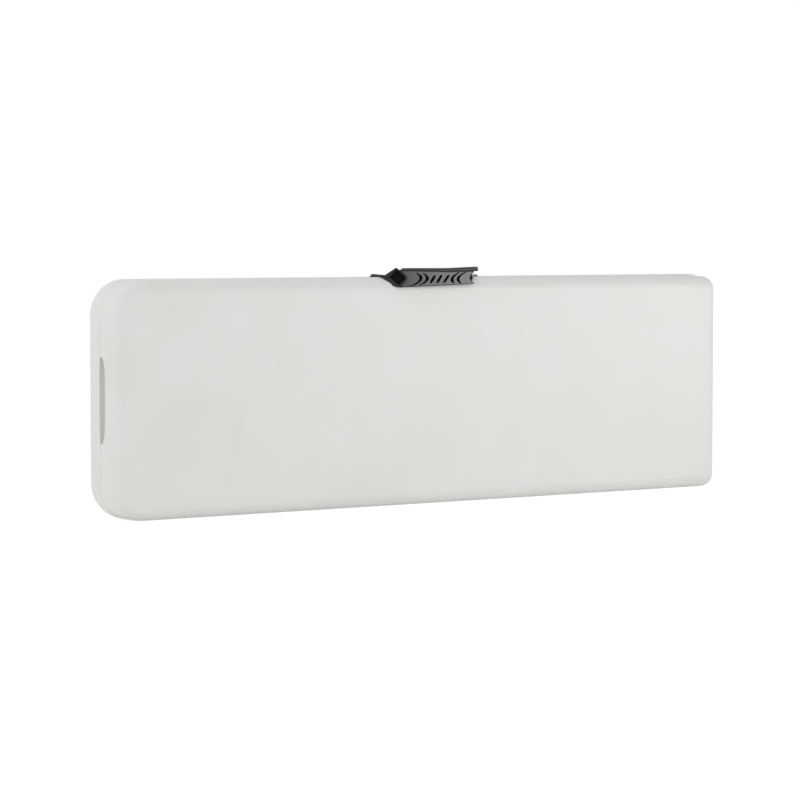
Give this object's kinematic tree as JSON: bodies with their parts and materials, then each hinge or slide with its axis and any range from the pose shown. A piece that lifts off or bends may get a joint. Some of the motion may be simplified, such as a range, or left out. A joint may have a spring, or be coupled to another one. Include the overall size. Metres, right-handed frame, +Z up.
{
  "type": "bi-fold bench",
  "caption": "Folding bench with a moulded white seat, folded in half on its long edge, with a black swing handle, hinged steel legs and folding braces.",
  "frame": {"origin": "middle of the standing edge at the seam between the halves, on the surface it stands on", "axes": "+X along the bench towards the fold, +Y from the half with the handle towards the other half, +Z up across the seat"},
  "size_m": [0.923, 0.0785, 0.2924],
  "materials": {
    "white_hdpe": "fine moulded grain",
    "black_polypropylene": "moulded, half gloss",
    "black_plastic": "moulded",
    "zinc_steel": "bright zinc plate",
    "grey_steel": "powder coat, fine texture"
  },
  "bodies": {
    "rear_half": {"rear_seat_panel": "white_hdpe", "rear_lower_rail": "grey_steel", "rear_upper_rail": "grey_steel", "rear_rail_screws": "zinc_steel", "rear_hinge_plates": "grey_steel", "rear_leg_rod": "zinc_steel", "rear_brace_anchor": "grey_steel", "rear_anchor_screws": "zinc_steel", "rear_anchor_rivet": "zinc_steel", "hinge_bolts": "zinc_steel", "hinge_nuts": "zinc_steel"},
    "rear_leg": {"rear_leg_pivot_tube": "grey_steel", "rear_leg_bushes": "black_plastic", "rear_lower_upright": "grey_steel", "rear_upper_upright": "grey_steel", "rear_leg_cross_tube": "grey_steel", "rear_feet": "black_plastic", "rear_brace_bar": "grey_steel"},
    "rear_leg_strut_body": {"rear_leg_strut": "zinc_steel"},
    "rear_frame_strut_body": {"rear_frame_strut": "zinc_steel", "rear_knee_rivet": "zinc_steel"},
    "rear_lock_ring_body": {"rear_lock_ring": "zinc_steel"},
    "front_half": {"front_seat_panel": "white_hdpe", "front_lower_rail": "grey_steel", "front_upper_rail": "grey_steel", "front_rail_screws": "zinc_steel", "front_hinge_plates": "grey_steel", "front_leg_rod": "zinc_steel", "front_brace_anchor": "grey_steel", "front_anchor_screws": "zinc_steel", "front_anchor_rivet": "zinc_steel", "handle_brackets": "black_polypropylene", "handle_pins": "zinc_steel", "bracket_screws": "zinc_steel"},
    "front_leg": {"front_leg_pivot_tube": "grey_steel", "front_leg_bushes": "black_plastic", "front_lower_upright": "grey_steel", "front_upper_upright": "grey_steel", "front_leg_cross_tube": "grey_steel", "front_feet": "black_plastic", "front_brace_bar": "grey_steel"},
    "front_leg_strut_body": {"front_leg_strut": "zinc_steel"},
    "front_frame_strut_body": {"front_frame_strut": "zinc_steel", "front_knee_rivet": "zinc_steel"},
    "front_lock_ring_body": {"front_lock_ring": "zinc_steel"},
    "handle": {"carry_handle": "black_polypropylene"}
  },
  "joints": [
    {"name": "fold", "type": "hinge", "parent": "rear_half", "child": "front_half", "pos_m": [0.4575, 0, 0.14], "axis": [0, 0, 1], "range_deg": [0, 180]},
    {"name": "front_leg_swing", "type": "hinge", "parent": "front_half", "child": "front_leg", "pos_m": [-0.3725, -0.0118, 0.14], "axis": [0, 0, 1], "range_deg": [0, 90]},
    {"name": "front_leg_strut_swing", "type": "hinge", "parent": "front_leg", "child": "front_leg_strut_body", "pos_m": [-0.2225, -0.0068, 0.14], "axis": [0, 0, 1], "range_deg": [0, 57.7]},
    {"name": "front_frame_strut_swing", "type": "hinge", "parent": "front_half", "child": "front_frame_strut_body", "pos_m": [-0.0725, -0.016, 0.14], "axis": [0, 0, -1], "range_deg": [0, 26.83]},
    {"name": "front_lock_ring_slide", "type": "slide", "parent": "front_frame_strut_body", "child": "front_lock_ring_body", "axis": [-1, 0, 0], "range_m": [0, 0.0961]},
    {"name": "rear_leg_swing", "type": "hinge", "parent": "rear_half", "child": "rear_leg", "pos_m": [-0.3725, 0.0118, 0.14], "axis": [0, 0, -1], "range_deg": [0, 90]},
    {"name": "rear_leg_strut_swing", "type": "hinge", "parent": "rear_leg", "child": "rear_leg_strut_body", "pos_m": [-0.2225, 0.0068, 0.14], "axis": [0, 0, -1], "range_deg": [0, 57.7]},
    {"name": "rear_frame_strut_swing", "type": "hinge", "parent": "rear_half", "child": "rear_frame_strut_body", "pos_m": [-0.0725, 0.016, 0.14], "axis": [0, 0, 1], "range_deg": [0, 26.83]},
    {"name": "rear_lock_ring_slide", "type": "slide", "parent": "rear_frame_strut_body", "child": "rear_lock_ring_body", "axis": [-1, 0, 0], "range_m": [0, 0.0961]},
    {"name": "handle_swing", "type": "hinge", "parent": "front_half", "child": "handle", "pos_m": [0, -0.0055, 0.2785], "axis": [-1, 0, 0], "range_deg": [0, 90]}
  ],
  "couplings": [
    {"joint": "front_leg_swing", "follows": "fold", "ratio": 0.5},
    {"joint": "front_leg_strut_swing", "follows": "fold", "ratio": 0.32048},
    {"joint": "front_frame_strut_swing", "follows": "fold", "ratio": 0.149},
    {"joint": "front_lock_ring_slide", "follows": "fold", "m_per_rad": 0.030558},
    {"joint": "rear_leg_swing", "follows": "fold", "ratio": 0.5},
    {"joint": "rear_leg_strut_swing", "follows": "fold", "ratio": 0.32048},
    {"joint": "rear_frame_strut_swing", "follows": "fold", "ratio": 0.149},
    {"joint": "rear_lock_ring_slide", "follows": "fold", "m_per_rad": 0.030558}
  ]
}
